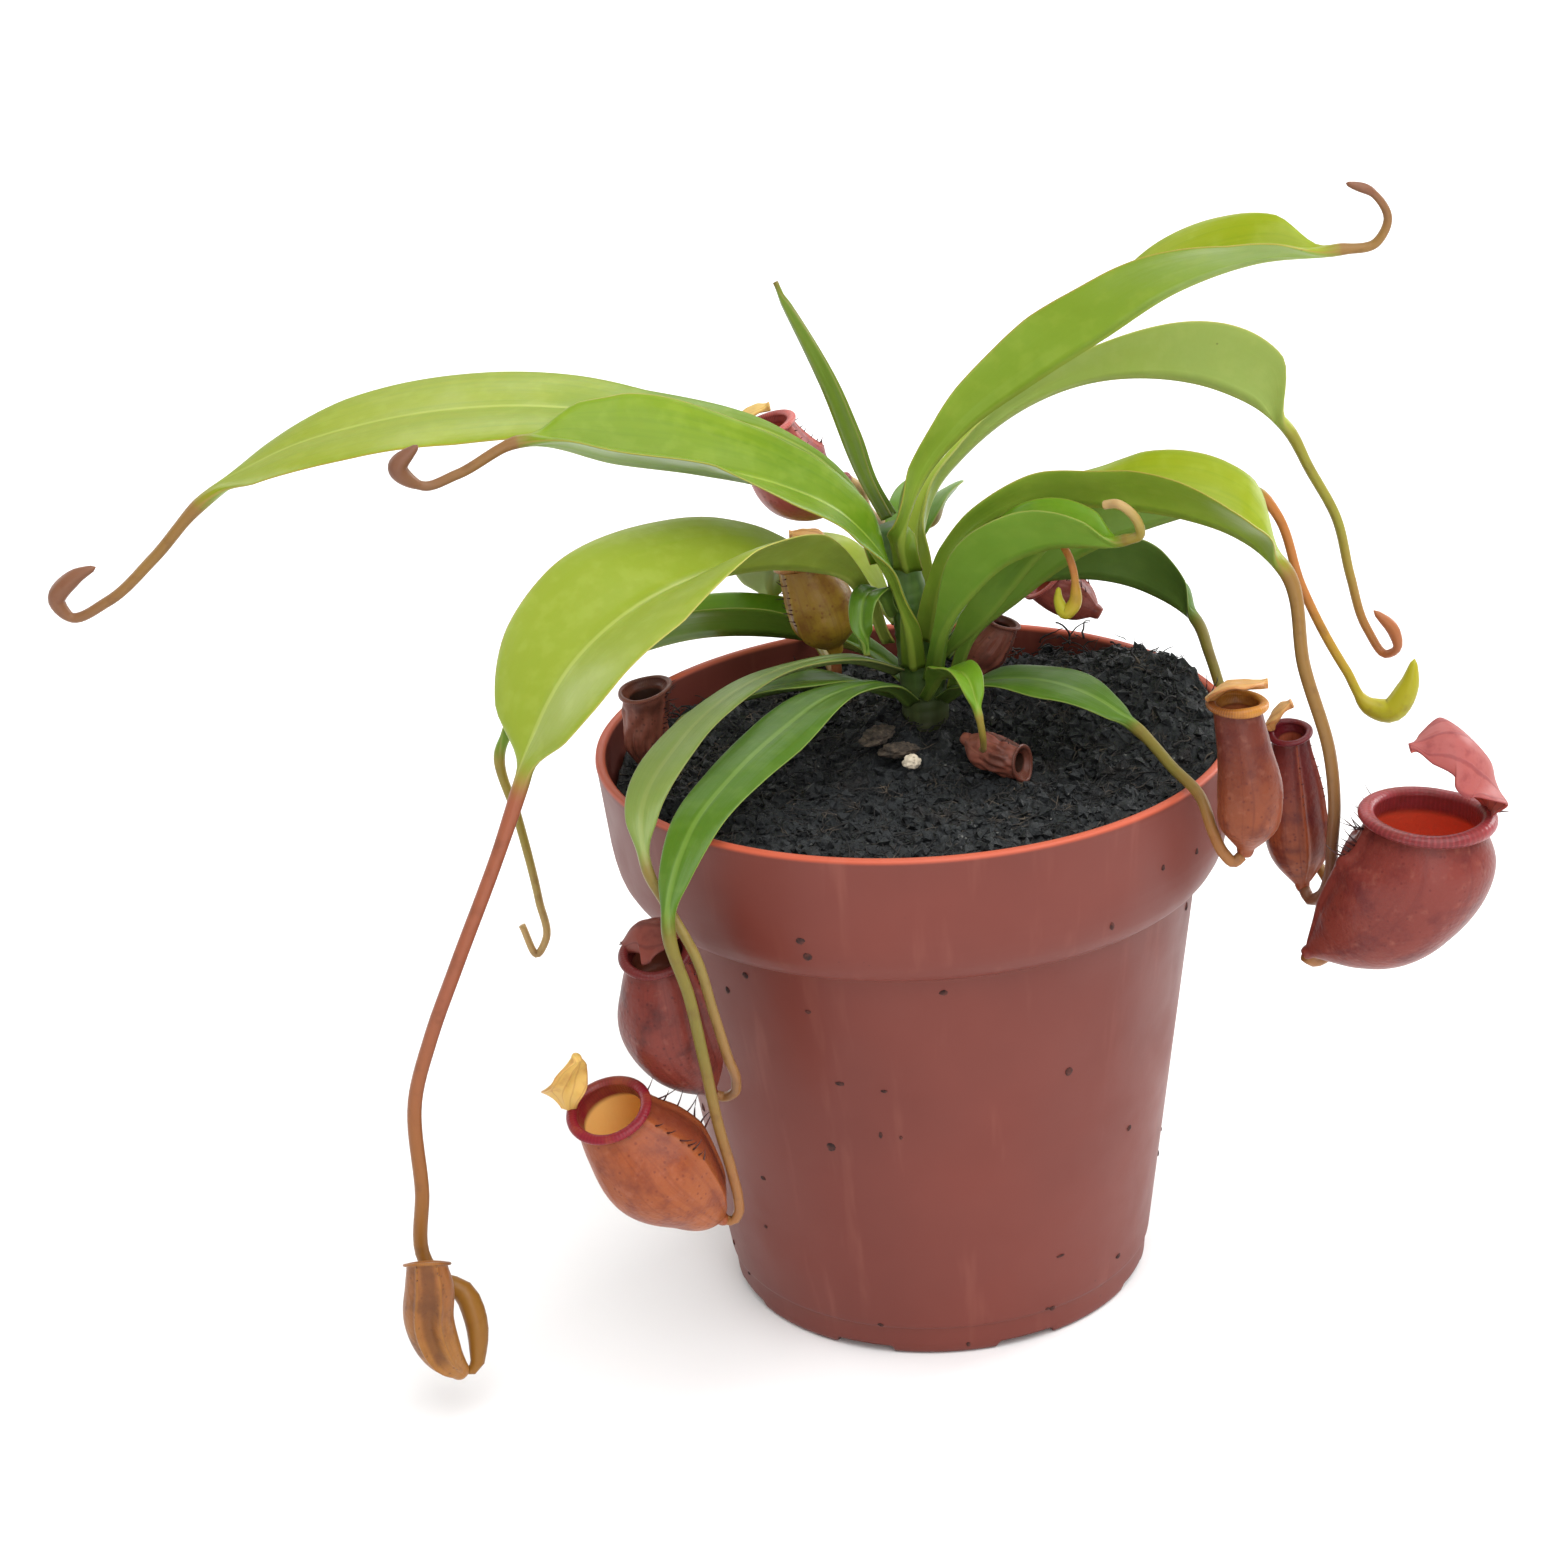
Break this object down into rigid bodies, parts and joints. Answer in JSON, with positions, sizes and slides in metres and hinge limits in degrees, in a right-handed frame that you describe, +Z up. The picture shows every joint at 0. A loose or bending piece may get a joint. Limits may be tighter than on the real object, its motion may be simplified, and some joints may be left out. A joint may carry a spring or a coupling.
{
  "type": "potted tropical pitcher plant",
  "caption": "Tropical pitcher plant with arching leaves and hanging red-brown pitchers, rooted in dark soil in a round terracotta-coloured plastic nursery pot.",
  "frame": {"origin": "centre of the pot's flat underside, where it stands on the floor", "axes": "+Z up, +X to the right and +Y away from the viewer, as the picture shows it"},
  "size_m": [0.2067, 0.1053, 0.1578],
  "materials": {
    "pot_plastic": "terracotta-coloured, satin",
    "soil_peat": "dark fibrous peat, matt",
    "leaf_bright": "leathery, light green, satin",
    "leaf_dark": "leathery, dark green, satin",
    "stem_green": "green stem, satin",
    "pitcher_red": "waxy, dusky red, satin",
    "pitcher_tan": "waxy, tan to ochre, satin",
    "pitcher_dry": "dried, brown, matt",
    "lid_red": "waxy, pink-red, satin",
    "lid_tan": "waxy, cream to tan, satin",
    "perlite": "porous, matt",
    "bark": "rough bark, matt"
  },
  "bodies": {
    "root": {"pot": "pot_plastic", "soil": "soil_peat", "stem": "stem_green", "leaf_left_far": "leaf_bright", "leaf_left_middle": "leaf_bright", "leaf_left_broad": "leaf_bright", "leaf_left_back": "leaf_dark", "leaf_back_pale": "leaf_dark", "leaf_back_upper": "leaf_dark", "leaf_right_high": "leaf_bright", "leaf_right_pale": "leaf_bright", "leaf_right_middle": "leaf_bright", "leaf_right_long": "leaf_dark", "leaf_right_curled": "leaf_bright", "leaf_right_small": "leaf_dark", "leaf_right_dark": "leaf_dark", "leaf_right_low": "leaf_dark", "leaf_front_left": "leaf_dark", "leaf_front_grey": "leaf_dark", "leaf_front_low": "leaf_dark", "leaf_centre_small": "leaf_dark", "leaf_front_tiny": "leaf_bright", "leaf_back_low": "leaf_dark", "leaf_spear": "leaf_bright", "pitcher_right_large": "pitcher_red", "pitcher_right_front": "pitcher_tan", "pitcher_right_dark": "pitcher_red", "pitcher_left_front": "pitcher_red", "pitcher_left_dark": "pitcher_red", "pitcher_left_dry": "pitcher_dry", "pitcher_hanging": "pitcher_tan", "pitcher_back_upper": "pitcher_red", "pitcher_back_yellow": "pitcher_tan", "pitcher_back_pink": "pitcher_red", "pitcher_centre_dry": "pitcher_dry", "pitcher_front_dry": "pitcher_dry", "lid_right_large": "lid_red", "lid_right_front": "lid_tan", "lid_right_dark": "lid_tan", "lid_left_front": "lid_tan", "lid_left_dark": "lid_red", "lid_back_upper": "lid_tan", "lid_back_yellow": "lid_tan", "lid_back_pink": "lid_red", "perlite_grain": "perlite", "bark_chip_large": "bark", "bark_chip_small": "bark"}
  },
  "joints": []
}
